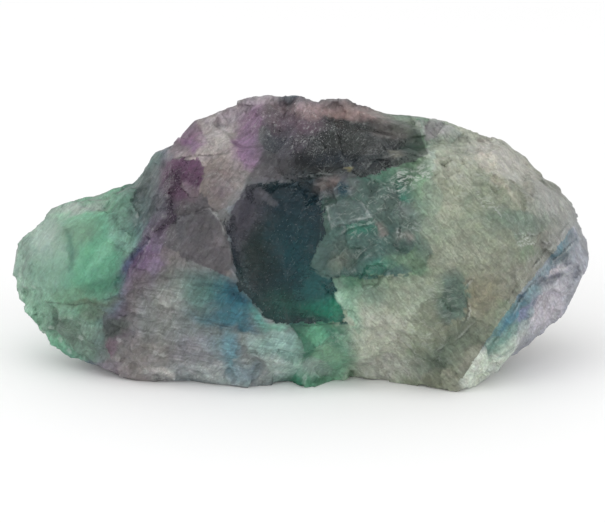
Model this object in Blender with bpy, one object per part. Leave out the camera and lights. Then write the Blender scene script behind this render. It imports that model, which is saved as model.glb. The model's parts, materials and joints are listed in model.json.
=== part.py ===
"""A rough chunk of banded fluorite: one solid stone that rests on a broad cleavage face.

The stone is drawn as a cage of named break lines in millimetres. X runs along the stone,
-Y is its broad front, +Z is up and the resting face lies at z = 0. The cage's two shells,
front and back, meet at the outline. The closed cage is then made dense, given its steps,
plates and hollows, and thinned again to a light faceted solid.
"""

import math

import bmesh
import bpy
import numpy as np
from mathutils import Euler, Vector, noise
from mathutils.geometry import delaunay_2d_cdt

MM = 0.001

# Driving dimensions, in millimetres
LENGTH = 71.8  # the finished stone, from tip to tip
CAGE_LEAN = math.radians(18.0)  # the drawing plane of the cage leans back this much
DENSE_STEP = 0.42  # spacing of the dense mesh that takes the relief
TRIANGLES = 9400  # size of the finished solid
SEAT_BAND = 0.35  # what lies this close to z = 0 belongs to the flat resting face
SEAT_TRUE = 0.2  # thinning the mesh leaves the resting face within this of z = 0

# The outline: clockwise from the left tip, over the hump, to the right tip and back below.
CREST = [
    (-36.0, 0, 12.2), (-35.9, 0, 14.1), (-34.7, 0, 15.9), (-32.9, 0.5, 17.0), (-31.4, 1, 18.8),
    (-28.6, 1, 20.0), (-25.3, 1, 20.4), (-22.4, 1, 22.0), (-20.7, 1, 22.6), (-19.8, 1, 24.5),
    (-17.9, 1, 26.3), (-16.3, 0, 27.1), (-14.9, 1, 28.8), (-13.5, 1, 30.5), (-10.2, 2, 30.7),
    (-7.3, 2, 32.5), (-4.3, 2, 33.1), (0.1, 3, 32.6), (4.6, 3, 32.1), (7.7, 3, 31.8),
    (10.7, 3, 30.8), (15.0, 3, 30.3), (19.6, 3, 29.1), (22.7, 3, 28.2), (25.5, 4, 26.3),
    (27.1, 4, 25.1), (28.6, 4, 23.8), (30.2, 3, 22.1), (31.8, 3, 22.0), (33.2, 3, 19.6),
    (34.7, 2, 16.4), (35.4, 1, 14.8), (35.9, 0, 13.2),
]
UNDERCUT_RIGHT = [
    (35.1, -1, 10.9), (34.1, -1.5, 8.7), (32.9, -3, 6.8), (29.9, -5, 4.4), (26.4, -7.5, 2.7),
    (23.6, -9.5, 1.2), (21.5, -12.0, 0.5),
]
SEAT_FRONT = [
    (19.2, -13.9, 0), (17.8, -12.8, 0), (13.4, -11.4, 0), (10.5, -9.8, 0), (6.1, -8.0, 0),
    (3.6, -9.5, 0), (1.2, -11.6, 0), (-2.0, -10.2, 0), (-3.8, -11.0, 0), (-4.8, -13.5, 0),
    (-7.2, -12.8, 0), (-10.2, -11.2, 0), (-13.2, -10.0, 0), (-17.3, -10.4, 0), (-20.6, -9.9, 0),
]
UNDERCUT_LEFT = [
    (-24.3, -8, 0.7), (-26.4, -7, 1.3), (-28.2, -6.5, 1.5), (-29.4, -6, 1.9), (-31.6, -5, 2.7),
    (-32.6, -4, 4.6), (-33.0, -3.5, 5.6), (-35.3, -2, 7.2), (-36.1, -1, 9.9),
]

# The front: each entry is one break line, an edge that the light picks out.
FRONT_LINES = {
    "neck": [(-19.9, -3.5, 22.0), (-19.8, -6.5, 19.2), (-20.6, -8, 16.0), (-22.4, -9, 13.0)],
    "shoulder": [
        (-15.9, -4, 27.2), (-16.1, -8.5, 23.9), (-16.8, -10.5, 20.4), (-18.3, -10.8, 17.1),
        (-21.0, -10.5, 13.0), (-23.1, -10.5, 9.2), (-23.9, -10.2, 4.5),
    ],
    "lobe_bulge": [(-29.6, -5.5, 18.0), (-27.2, -8, 16.2), (-30.2, -7.5, 12.7), (-31.6, -6.5, 9.1)],
    "lobe_keel": [(-31.6, -6.5, 9.1), (-25.2, -9.5, 10.8), (-22.4, -9, 13.0)],
    "window_rim": [
        (-6.8, -9, 24.8), (-7.6, -10.5, 22.6), (-9.4, -12, 20.8), (-8.4, -13.2, 16.2),
        (-7.0, -13.7, 13.1), (-4.7, -14.2, 10.1), (-0.5, -14.2, 7.4), (0.4, -13.5, 4.8),
    ],
    "window_wall": [
        (-5.8, -7.4, 23.6), (-6.4, -8.8, 21.9), (-7.9, -10.3, 20.0), (-7.2, -11.7, 16.5),
        (-5.8, -12.3, 13.7), (-3.6, -13.0, 11.1), (-0.2, -13.3, 8.8),
    ],
    "window_top": [(-6.8, -9, 24.8), (-2.5, -8.2, 25.0), (-0.1, -7.6, 25.6), (5.4, -7.6, 25.4)],
    "window_ceiling": [(-5.8, -7.4, 23.6), (-2.3, -6.5, 23.7), (0.8, -6.3, 24.0), (3.6, -6.9, 23.6)],
    "cheek_step": [(-13.2, -5.2, 26.4), (-10.2, -5.6, 26.6), (-7.0, -6.2, 26.9)],
    "window_foot": [(-0.5, -14.2, 7.4), (2.6, -13.2, 8.3), (4.9, -12.8, 8.8), (4.2, -11.2, 12.3)],
    "grey_wedge": [(-16.8, -10.5, 20.4), (-11.3, -10.2, 22.9), (-9.4, -12, 20.8)],
    "grey_keel": [(-16.8, -10.5, 20.4), (-15.1, -12.3, 16.9), (-11.8, -13.5, 15.4), (-7.0, -13.7, 13.1)],
    "grey_lip": [(-18.0, -11.1, 16.2), (-15.3, -11.9, 15.6), (-11.9, -12.9, 13.9), (-8.2, -13.4, 12.0)],
    "roof_eave": [(5.4, -7.6, 25.4), (8.1, -8.5, 26.0), (11.4, -8.5, 26.3), (15.9, -6, 27.5)],
    "roof_end": [(14.9, 1.2, 30.2), (15.4, -2.5, 28.6), (15.9, -6, 27.5), (18.0, -11.5, 23.2)],
    "block_edge": [(5.4, -7.6, 25.4), (3.3, -8.4, 22.2), (1.2, -9.6, 14.6), (4.2, -11.2, 12.3)],
    "block_foot": [(4.2, -11.2, 12.3), (10.4, -12.8, 13.9), (15.8, -12.9, 14.7), (15.6, -11.9, 18.5)],
    "strip_edge": [
        (34.3, -1, 16.4), (31.9, -6, 15.8), (26.9, -12, 11.4), (23.0, -13.7, 6.1), (20.2, -14.2, 1.5),
    ],
    "strip_ledge": [(34.6, -3.2, 11.9), (30.5, -8.2, 11.0), (28.2, -9.5, 7.4), (25.1, -10.6, 3.6)],
    "belly": [(5.0, -13.4, 8.6), (12.0, -14.6, 9.3), (21.6, -15.1, 14.4), (24.6, -13.4, 20.2)],
}
FRONT_SPOTS = [
    (-34.7, -3.2, 11.2), (-32.6, -4.5, 14.8), (-24.6, -5.5, 20.0), (-24.4, -8.4, 16.2),
    (-28.5, -8.2, 6.4), (-12.4, -3.5, 28.8), (-10.4, -8, 25.0), (-4.8, -0.5, 31.8), (-4.8, -4.5, 28.4),
    (2.3, -3, 29.9), (8.5, -3, 29.7), (-2.6, -7.0, 20.8), (-4.0, -9.7, 17.0),
    (-0.6, -9.3, 15.4), (-1.4, -11.6, 11.7), (-21.5, -11.8, 5.0), (-12.2, -14.2, 10.8),
    (-14.1, -13.6, 5.2), (-6.0, -14.8, 5.6), (5.4, -13.0, 5.0), (8.9, -10, 20.6),
    (24.3, -7, 25.4), (28.4, -6.5, 22.4), (16.2, -15, 5.6), (27.6, -11.4, 15.4),
]

# The back and the resting face
SEAT_BACK = [
    (-20.6, -9.9, 0), (-23.2, -6, 0), (-20.5, 3.5, 0), (-10, 9.0, 0), (0.5, 11.6, 0),
    (10.5, 9.8, 0), (17.5, 4.5, 0), (21.0, -4.5, 0), (19.2, -13.9, 0),
]
BACK_LINES = {
    "heel": [(-20.5, 3.5, 0), (-22.5, 7.5, 7.5), (-18.0, 10.0, 17.0), (-15.0, 7.5, 25.2)],
    "spine": [
        (-15.0, 7.5, 25.2), (-5.5, 9.0, 28.6), (6.0, 10.5, 27.0), (16.0, 9.5, 25.4), (25.5, 8.5, 21.8),
    ],
    "left_ledge": [(-18.0, 10.0, 17.0), (-8.0, 15.2, 18.6), (-3.0, 15.8, 9.0), (-10, 9.0, 0)],
    "right_face": [(6.0, 10.5, 27.0), (4.5, 15.6, 17.0), (8.5, 14.8, 6.5), (10.5, 9.8, 0)],
    "right_keel": [(25.5, 8.5, 21.8), (19.0, 13.6, 14.5), (18.0, 11.5, 6.0), (17.5, 4.5, 0)],
    "right_tip": [(19.0, 13.6, 14.5), (27.5, 9.0, 10.0), (33.4, 4.0, 11.5)],
}
BACK_SPOTS = [
    (-34.6, 3.0, 12.2), (-31.0, 3.5, 9.0), (-27.5, 7.0, 13.5), (-28.5, -0.5, 4.0), (-27.0, 5.0, 17.2),
    (-14.0, 12.2, 7.0), (30.8, 6.8, 16.6), (26.5, 2.5, 4.6),
]

# Where each kind of break shows: (middle, reach) of a soft ball, in millimetres. A ball is
# full at its heart, thins out over BALL_FADE of its reach and ends at BALL_EDGE of it.
BALL_EDGE, BALL_FADE = 1.25, 0.5
SMOOTH = [((-3.0, -10.0, 16.0), 8.0), ((-12.0, -15.0, 7.5), 6.5), ((21.0, -13.5, 18.0), 6.5),
          ((-27.0, -8.0, 15.0), 6.5)]
PLATED = [((8.5, -10.5, 19.5), 9.5), ((1.0, -7.0, 26.0), 4.0), ((2.0, 15.0, 14.0), 11.0)]
SUGARY = [((22.0, -6.0, 25.5), 9.0), ((11.0, -14.0, 4.0), 10.0), ((-27.0, -7.0, 2.5), 7.5),
          ((30.0, 2.0, 19.0), 9.0), ((22.0, 12.0, 8.0), 9.0), ((-25.0, 6.0, 10.0), 8.0)]
STRIP = [((29.5, -8.0, 8.0), 8.0)]
STEPPED = [((-14.0, 10.0, 12.0), 11.0), ((10.0, 10.0, 26.0), 8.0)]

# Size and share of the cleavage faces that each kind of break shows, sizes in millimetres
BROAD_SIZE, BROAD_SHARE = 6.5, 0.22
PLATE_SIZE, PLATE_SHARE = 4.2, 0.46
SUGAR_SIZE, SUGAR_SHARE = 2.8, 0.20
PLATE_HEIGHT = 0.45  # share of a cell's own depth that sets its plate forward or back
FACE_CHANCE = 0.55  # how easily a cell breaks along its second best cleavage face
STEEPEST = 0.5  # a plate leans from the surface no further than this cosine
FURTHEST = 0.9  # no plate stands further than this from the cage, in millimetres
LEDGE_SIZE, LEDGE_RISE = 2.6, 0.85
STAIR_SIZE, STAIR_RISE = 4.2, 0.8
LEDGE_JITTER = 0.7  # how unevenly the ledges follow each other
WANDER_SIZE, WANDER = 6.0, 0.4  # the ledges' lines wander by this share of their spacing
SWELL_SIZE, SWELL_RISE, SWELL_PLACE = 9.0, 0.35, Vector((3.3, 7.7, 1.1))
SMOOTHING = 0.85  # what the smooth faces lose of the broad plates
SALT = 11.0  # moves the cells of the plates through the stone

# The rim where front and back meet is worn: there this share of the relief is left.
RIM_SHARE = 0.2
RIM_FACING = 0.55  # the cosine to the drawing plane's normal at which the rim begins
DRAWING_NORMAL = Vector((0, -math.cos(CAGE_LEAN), math.sin(CAGE_LEAN)))

# The ledges of the strip at the right end run along it and follow each other this way.
STRIP_ACROSS = Vector((0.28, 0.57, -0.77))

# Fluorite splits along the faces of an octahedron, which this turn sets in the stone.
CRYSTAL_TURN = Euler((math.radians(24), math.radians(-14), math.radians(31)))
CLEAVAGE = [
    (CRYSTAL_TURN.to_matrix() @ Vector((x, y, z))).normalized()
    for x in (-1, 1) for y in (-1, 1) for z in (-1, 1)
]

# The dark pit in the lower right of the front, with one straight wall
PIT_MIDDLE, PIT_REACH, PIT_DEPTH = (19.3, -15.0, 12.8), 3.4, 0.9
PIT_WALL = 1.7  # how far right of the pit's middle its straight wall stands
PIT_SQUASH = 0.8  # the pit is this much taller than wide


def clear_scene():
    for obj in list(bpy.data.objects):
        bpy.data.objects.remove(obj, do_unlink=True)


def drawn(point):
    """The place of a cage point on the leaning drawing plane."""
    x, y, z = point
    return Vector((x, y * math.sin(CAGE_LEAN) + z * math.cos(CAGE_LEAN)))


def shell(outline, lines, spots, facing_front):
    """One side of the cage: its break lines joined by triangles inside the outline."""
    points = list(outline)
    edges = [(i, (i + 1) % len(outline)) for i in range(len(outline))]
    index = {p: i for i, p in enumerate(points)}

    def number(point):
        if point not in index:
            index[point] = len(points)
            points.append(point)
        return index[point]

    for line in lines:
        ends = [number(p) for p in line]
        edges += list(zip(ends, ends[1:]))
    for spot in spots:
        number(spot)

    flat = [drawn(p) for p in points]
    _, _, faces, origins, _, _ = delaunay_2d_cdt(flat, edges, [], 1, 1e-6)
    first = [o[0] if o else None for o in origins]
    if None in first:
        raise ValueError("two break lines of the cage cross each other")
    triangles = [[first[i] for i in face] for face in faces]
    if not facing_front:
        triangles = [t[::-1] for t in triangles]
    return points, triangles


def cage_object():
    """The closed cage: front and back shells sewn together along the outline."""
    outline = CREST + UNDERCUT_RIGHT + SEAT_FRONT + UNDERCUT_LEFT
    front = shell(outline, FRONT_LINES.values(), FRONT_SPOTS, True)
    back = shell(outline, [SEAT_BACK, *BACK_LINES.values()], BACK_SPOTS, False)

    bm = bmesh.new()
    for points, triangles in (front, back):
        corners = [bm.verts.new([c * MM for c in p]) for p in points]
        for triangle in triangles:
            bm.faces.new([corners[i] for i in triangle])
    bmesh.ops.remove_doubles(bm, verts=bm.verts, dist=0.00001)
    bmesh.ops.recalc_face_normals(bm, faces=bm.faces)
    mesh = bpy.data.meshes.new("stone")
    bm.to_mesh(mesh)
    bm.free()
    obj = bpy.data.objects.new("stone", mesh)
    bpy.context.scene.collection.objects.link(obj)
    return obj


def apply_modifiers(obj):
    """Keeps what the object's modifiers make as its own mesh."""
    graph = bpy.context.evaluated_depsgraph_get()
    mesh = bpy.data.meshes.new_from_object(obj.evaluated_get(graph))
    obj.modifiers.clear()
    old = obj.data
    obj.data = mesh
    mesh.name = old.name
    bpy.data.meshes.remove(old)


def make_dense(obj):
    """Fills the cage's flat faces with evenly spaced points."""
    remesh = obj.modifiers.new("dense", "REMESH")
    remesh.mode = "VOXEL"
    remesh.voxel_size = DENSE_STEP * MM
    apply_modifiers(obj)


def presence(point, balls):
    """How strongly a kind of break shows at a point: 1 inside its balls, fading to 0."""
    strongest = 0.0
    for middle, reach in balls:
        away = (point - Vector(middle)).length / reach
        strongest = max(strongest, min(1.0, max(0.0, (BALL_EDGE - away) / BALL_FADE)))
    return strongest


def cleavage_plate(point, normal, size):
    """How far the cleavage face through a cell's own seed lies from the surface."""
    spaced = point / size + Vector((SALT, -SALT, 2 * SALT))
    seed = noise.voronoi(spaced)[1][0]
    face = max(CLEAVAGE, key=lambda c: c.dot(normal) + FACE_CHANCE * noise.noise(3.7 * seed + 5 * c))
    offset = (seed - spaced) * size
    depth = offset.dot(normal)
    along = (offset - depth * normal).dot(face) / max(STEEPEST, face.dot(normal))
    return PLATE_HEIGHT * depth + along


def ledges(point, direction, size):
    """Uneven stairs: slow rises that end in sharp drops, one after another."""
    along = direction.dot(point) / size + WANDER * noise.noise(point / WANDER_SIZE)
    step = math.floor(along)

    def brink(number):
        return number + LEDGE_JITTER * (noise.cell(Vector((number + 0.5, SALT, 0.5))) - 0.5)

    if along < brink(step):
        step -= 1
    elif along >= brink(step + 1):
        step += 1
    return (along - brink(step)) / (brink(step + 1) - brink(step)) - 0.5


def pit(point):
    """The pit: a shallow dish that drops sharply at its right-hand wall."""
    offset = point - Vector(PIT_MIDDLE)
    away = Vector((offset.x, PIT_SQUASH * offset.z)).length / PIT_REACH
    if offset.y > PIT_REACH or away > 1 or offset.x > PIT_WALL:
        return 0.0
    return -PIT_DEPTH * (1 - away**2)


def relief(point, normal):
    """How far the surface stands out of the cage at a point, in millimetres."""
    plates = presence(point, PLATED)
    sugar = presence(point, SUGARY)
    rough = 1 - SMOOTHING * presence(point, SMOOTH)
    broken = rough * BROAD_SHARE * cleavage_plate(point, normal, BROAD_SIZE)
    if plates:
        broken += plates * PLATE_SHARE * cleavage_plate(point, normal, PLATE_SIZE)
    if sugar:
        broken += sugar * SUGAR_SHARE * cleavage_plate(point, normal, SUGAR_SIZE)
    broken = max(-FURTHEST, min(FURTHEST, broken))
    strip = presence(point, STRIP)
    if strip:
        broken += strip * LEDGE_RISE * ledges(point, STRIP_ACROSS, LEDGE_SIZE)
    stairs = presence(point, STEPPED)
    if stairs:
        broken += stairs * STAIR_RISE * ledges(point, CLEAVAGE[0], STAIR_SIZE)
    swell = SWELL_RISE * noise.noise(point / SWELL_SIZE + SWELL_PLACE)
    facing = min(1.0, abs(normal.dot(DRAWING_NORMAL)) / RIM_FACING)
    kept = RIM_SHARE + (1 - RIM_SHARE) * facing
    return kept * (swell + broken) + pit(point)


def carve(obj):
    """Moves the dense mesh in and out by the relief, and keeps the resting face flat."""
    mesh = obj.data
    count = len(mesh.vertices)
    places = np.empty(count * 3)
    mesh.vertices.foreach_get("co", places)
    places = places.reshape(-1, 3) / MM
    normals = np.empty(count * 3)
    mesh.vertices.foreach_get("normal", normals)
    normals = normals.reshape(-1, 3)
    rises = np.array([relief(Vector(p), Vector(n)) for p, n in zip(places, normals)])
    moved = places + normals * rises[:, None]
    seated = (places[:, 2] < SEAT_BAND) | (moved[:, 2] < SEAT_BAND)
    moved[seated, 2] = 0.0
    mesh.vertices.foreach_set("co", (moved * MM).ravel())
    mesh.update()


def thin_out(obj):
    """Leaves large flat faces few triangles and keeps the steps and edges."""
    obj.data.calc_loop_triangles()
    thin = obj.modifiers.new("thin", "DECIMATE")
    thin.ratio = TRIANGLES / len(obj.data.loop_triangles)
    thin.use_collapse_triangulate = True
    apply_modifiers(obj)


def settle(obj):
    """Gives the stone its length and puts the origin under its middle, on the resting face."""
    mesh = obj.data
    places = np.empty(len(mesh.vertices) * 3)
    mesh.vertices.foreach_get("co", places)
    places = places.reshape(-1, 3)
    places[places[:, 2] < SEAT_TRUE * MM, 2] = 0.0
    low, high = places.min(0), places.max(0)
    places -= ((low[0] + high[0]) / 2, (low[1] + high[1]) / 2, low[2])
    growth = LENGTH * MM / (high[0] - low[0])
    places *= growth
    mesh.vertices.foreach_set("co", places.ravel())
    mesh.update()
    size = growth * (high - low) / MM
    print("stone size in mm:", np.round(size, 2), "triangles:", len(mesh.polygons))


def fluorite():
    """Pale green glassy mineral."""
    material = bpy.data.materials.new("fluorite")
    material.use_nodes = True
    shader = material.node_tree.nodes["Principled BSDF"]
    shader.inputs["Base Color"].default_value = (0.30, 0.42, 0.36, 1.0)
    shader.inputs["Roughness"].default_value = 0.4
    shader.inputs["Metallic"].default_value = 0.0
    shader.inputs["IOR"].default_value = 1.434
    shader.inputs["Transmission Weight"].default_value = 0.4
    return material


def main():
    clear_scene()
    stone = cage_object()
    make_dense(stone)
    carve(stone)
    thin_out(stone)
    settle(stone)
    stone.data.materials.clear()
    stone.data.materials.append(fluorite())


main()
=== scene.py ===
# %% [markdown]
# # A rough chunk of banded fluorite
#
# Fluorite is a clear, soft, glassy mineral that grows in coloured layers: green, violet, grey,
# teal and blue in turn. This chunk has been broken off a vein. It has no crystal faces of its
# own. What shows is the break: flat cleavage faces, small stairs, frosted crushed spots, and
# the colour layers that the break has cut through.
#
# The solid stone comes with the frame. This lesson makes its surface and its colours.

import json
import math

import bpy
import numpy as np
from mathutils import Euler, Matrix, Vector, kdtree, noise

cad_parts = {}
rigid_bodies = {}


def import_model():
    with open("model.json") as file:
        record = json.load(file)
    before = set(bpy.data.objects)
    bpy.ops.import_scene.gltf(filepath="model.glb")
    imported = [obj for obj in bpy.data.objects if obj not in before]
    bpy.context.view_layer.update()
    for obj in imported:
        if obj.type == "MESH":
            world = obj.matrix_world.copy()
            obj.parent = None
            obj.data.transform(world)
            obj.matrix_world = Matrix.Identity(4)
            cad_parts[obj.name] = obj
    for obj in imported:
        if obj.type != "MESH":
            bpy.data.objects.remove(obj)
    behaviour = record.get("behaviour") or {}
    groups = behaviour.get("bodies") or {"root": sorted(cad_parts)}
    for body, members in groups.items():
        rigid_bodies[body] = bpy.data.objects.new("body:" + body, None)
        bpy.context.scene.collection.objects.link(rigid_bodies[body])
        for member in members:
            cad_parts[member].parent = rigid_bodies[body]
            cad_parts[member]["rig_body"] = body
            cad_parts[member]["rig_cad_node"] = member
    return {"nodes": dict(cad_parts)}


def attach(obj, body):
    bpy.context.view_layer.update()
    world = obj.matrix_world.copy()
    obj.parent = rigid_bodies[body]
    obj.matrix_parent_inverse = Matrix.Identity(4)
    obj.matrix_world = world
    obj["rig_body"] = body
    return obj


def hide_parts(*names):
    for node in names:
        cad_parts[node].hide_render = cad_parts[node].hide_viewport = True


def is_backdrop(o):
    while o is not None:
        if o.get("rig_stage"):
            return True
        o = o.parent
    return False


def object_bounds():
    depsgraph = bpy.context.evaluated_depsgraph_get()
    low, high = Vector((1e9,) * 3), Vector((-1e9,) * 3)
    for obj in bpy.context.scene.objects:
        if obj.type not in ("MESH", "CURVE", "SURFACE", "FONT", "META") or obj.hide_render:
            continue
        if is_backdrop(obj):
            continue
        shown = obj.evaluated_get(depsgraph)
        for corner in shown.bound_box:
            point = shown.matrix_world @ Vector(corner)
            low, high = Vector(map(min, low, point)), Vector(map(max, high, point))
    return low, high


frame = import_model()
cad_low, cad_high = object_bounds()
print("the solid stone's box:", cad_low, cad_high)

MM = 0.001


# %% [markdown]
# ## The camera
#
# The stone is seen from the front and a little above. A long lens far away keeps the stone's
# outline free of perspective, as in a catalogue picture. The camera aims at a point inside the
# stone, and its distance follows from how much of the picture's width the stone should fill.

# %% Camera
LOOK_DOWN = math.radians(18)
LENS_MM = 200
SENSOR_MM = 36
STONE_SHARE = 0.952  # of the picture's width
AIM = Vector((0.163, 0.0, 11.995)) * MM

stone_length = cad_high.x - cad_low.x
camera_distance = LENS_MM / SENSOR_MM * stone_length / STONE_SHARE + 0.5 * MM
towards_camera = Vector((0, -math.cos(LOOK_DOWN), math.sin(LOOK_DOWN)))

bpy.ops.object.camera_add(
    location=AIM + towards_camera * camera_distance,
    rotation=(math.radians(90) - LOOK_DOWN, 0, 0),
)
camera = bpy.context.active_object
camera.name = "camera"
camera.data.lens = LENS_MM
camera.data.sensor_width = SENSOR_MM
camera.data.clip_end = 10
bpy.context.scene.camera = camera
print("camera distance in mm:", round(camera_distance / MM, 1))


# %% [markdown]
# ## The floor and the light
#
# The floor is a plain white sheet, and the light comes from all round it: a white sky and four
# large soft lamps. Soft light from many sides lets the eye look into a clear stone, where one
# hard lamp would only make glints on its skin.

# %% Floor and lamps
FLOOR_SIZE = 6.0
SHEET_WHITE = (0.92, 0.92, 0.92, 1)
SKY_LIGHT = 0.92
LAMPS = {  # place, size, watts
    "lamp_over": ((-0.10, -0.05, 0.55), 0.50, 0.5),
    "lamp_left": ((-0.50, -0.30, 0.30), 0.35, 0.5),
    "lamp_right": ((0.55, -0.20, 0.35), 0.30, 0.35),
    "lamp_low": ((0.0, -0.60, 0.06), 0.30, 0.5),
}

bpy.ops.mesh.primitive_plane_add(size=FLOOR_SIZE, location=(0, 0, 0))
floor = bpy.context.active_object
floor.name = "floor"
white_sheet = bpy.data.materials.new("white sheet")
white_sheet.use_nodes = True
sheet = white_sheet.node_tree.nodes["Principled BSDF"].inputs
sheet["Base Color"].default_value = SHEET_WHITE
sheet["Roughness"].default_value = 1.0
floor.data.materials.append(white_sheet)
floor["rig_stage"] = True

for name, (place, size, watts) in LAMPS.items():
    bpy.ops.object.light_add(type="AREA", location=place)
    light = bpy.context.active_object
    light.name = name
    light.data.size = size
    light.data.energy = watts
    light.rotation_euler = (AIM - Vector(place)).to_track_quat("-Z", "Y").to_euler()

world = bpy.data.worlds.new("white sky")
bpy.context.scene.world = world
world.use_nodes = True
sky = world.node_tree.nodes["Background"].inputs
sky["Color"].default_value = (1, 1, 1, 1)
sky["Strength"].default_value = SKY_LIGHT
bpy.context.scene.view_settings.view_transform = "Standard"
print("lamps:", ", ".join(LAMPS))


# %% [markdown]
# ## A working copy of the stone
#
# The frame's own stone must stay as it is, so the looks are made on a copy. The solid comes as
# loose triangles, so the copy's doubled points are merged first. A voxel remesh then gives the
# copy an even net of points, close enough together to carry fine stairs and grains.

# %% Copy and remesh
MERGE = 0.000001
NET_SPACING = 0.32 * MM
ROUNDING_STEPS = 2


def working_copy(node_name, new_name):
    bpy.ops.object.select_all(action="DESELECT")
    node = frame["nodes"][node_name]
    node.select_set(True)
    bpy.context.view_layer.objects.active = node
    bpy.ops.object.duplicate()
    piece = bpy.context.active_object
    bpy.ops.object.parent_clear(type="CLEAR_KEEP_TRANSFORM")
    piece.name = new_name
    piece.data.name = new_name
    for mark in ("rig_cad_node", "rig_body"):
        del piece[mark]
    bpy.ops.object.mode_set(mode="EDIT")
    bpy.ops.mesh.select_all(action="SELECT")
    bpy.ops.mesh.remove_doubles(threshold=MERGE)
    bpy.ops.object.mode_set(mode="OBJECT")
    return piece


def apply_modifier(piece, kind, **settings):
    modifier = piece.modifiers.new(kind.lower(), kind)
    for key, value in settings.items():
        setattr(modifier, key, value)
    bpy.context.view_layer.objects.active = piece
    bpy.ops.object.modifier_apply(modifier=modifier.name)


chunk = working_copy("stone", "fluorite_chunk")
apply_modifier(chunk, "REMESH", mode="VOXEL", voxel_size=NET_SPACING)
apply_modifier(chunk, "SMOOTH", factor=0.5, iterations=ROUNDING_STEPS)
print("points in the net:", len(chunk.data.vertices))


# %% [markdown]
# ## Reading and moving the net
#
# The net's points are read into one array in millimetres, worked on there, and written back.
# The chunk's broad front leans back by as much as the camera looks down. On that leaning front
# X runs along the stone, V up it and W out of it, so a line can be drawn on it as on paper.

# %% Points of the net
FRONT_LEAN = LOOK_DOWN
UP_FRONT = np.array((0, math.sin(FRONT_LEAN), math.cos(FRONT_LEAN)))
OUT_FRONT = np.array((0, -math.cos(FRONT_LEAN), math.sin(FRONT_LEAN)))


def read_points(piece):
    count = len(piece.data.vertices)
    places, normals = np.empty(count * 3), np.empty(count * 3)
    piece.data.vertices.foreach_get("co", places)
    piece.data.vertices.foreach_get("normal", normals)
    return places.reshape(-1, 3) / MM, normals.reshape(-1, 3)


def write_points(piece, places):
    piece.data.vertices.foreach_set("co", (places * MM).ravel())
    piece.data.update()


def smooth_step(value, low, high):
    share = np.clip((value - low) / (high - low), 0, 1)
    return share * share * (3 - 2 * share)


def on_front(places):
    """The same places as X, W and V of the leaning front."""
    return np.column_stack((places[:, 0], places @ OUT_FRONT, places @ UP_FRONT))


def stain(spots, middle, reach, turn, edge, depth=13.0, deep=10.0):
    """How much of a cloud shows at each spot: 1 inside an ellipsoid, fading to 0 outside it."""
    along, up = spots[:, 0] - middle[0], spots[:, 2] - middle[1]
    sine, cosine = math.sin(math.radians(turn)), math.cos(math.radians(turn))
    long, wide = (along * cosine + up * sine) / reach[0], (up * cosine - along * sine) / reach[1]
    away = np.sqrt(long**2 + wide**2 + ((spots[:, 1] - depth) / deep) ** 2)
    return 1 - smooth_step(away, 1 - edge, 1 + edge)


def strongest(spots, clouds):
    """The strongest of several clouds at each spot.

    A cloud is its middle (X, V), reach (long, wide), turn in degrees, edge and strength.
    """
    return np.max([strength * stain(spots, *cloud) for *cloud, strength in clouds], axis=0)


places, normals = read_points(chunk)
print("the front spans V from", (places @ UP_FRONT).min().round(1), "to", (places @ UP_FRONT).max().round(1))


# %% [markdown]
# ## The calm faces
#
# The dark window in the middle of the front is one clean, slightly hollow break, and the cheek
# beside it is another. The net is smoothed a good deal more there than elsewhere, so that the
# light runs softly over them. The neck and the lower edge of the right end are worn smooth too.

# %% Calm faces
# clouds, each with how much of the smoothing is felt there
CALM_FACES = [
    ((-2.6, 12.4), (5.6, 8.2), 15, 0.2, 1.0), ((-9.3, 23.4), (4.6, 4.6), 0, 0.2, 0.5),
    ((-19.4, 18.6), (2.0, 3.0), 0, 0.2, 0.8), ((27.4, 1.0), (4.2, 1.5), 50, 0.2, 0.4),
]
CALM_STEPS = 70

calm_group = chunk.vertex_groups.new(name="calm faces")
felt = strongest(on_front(places), CALM_FACES)
for number in np.flatnonzero(felt):
    calm_group.add([int(number)], felt[number], "REPLACE")
apply_modifier(chunk, "SMOOTH", factor=0.5, iterations=CALM_STEPS, vertex_group="calm faces")
chunk.vertex_groups.clear()
print("points in the calm faces:", np.count_nonzero(felt))


# %% [markdown]
# ## Small cleavage plates
#
# Fluorite splits along the faces of an octahedron, so its break is made of small flat plates.
# Random points of the net are the plates' middles. Every other point belongs to the nearest
# middle and moves in or out onto that middle's plane, which leans towards the nearest
# cleavage face. Where two plates meet, a small step is left. The back was broken off in larger
# plates, so it gets those first. A few places of the front broke smooth, and there the plates
# show less.

# %% Plates
PLATE_MM, PLATE_LEAN, PLATE_DEEPEST = 2.4, 0.5, 0.30
CHIP_SIZE_MM, CHIP_LEAN, CHIP_DEEPEST = 1.1, 0.6, 0.12
BACK_PLATE_MM, BACK_LEAN, BACK_DEEPEST, BACK_SHARE = 4.6, 0.5, 0.55, 0.8
CRYSTAL_TURN = Euler([math.radians(a) for a in (24, -14, 31)]).to_matrix()
SIGNS = [(x, y, z) for x in (-1, 1) for y in (-1, 1) for z in (-1, 1)]
CLEAVAGE = np.array([(CRYSTAL_TURN @ Vector(s)).normalized() for s in SIGNS])
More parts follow.
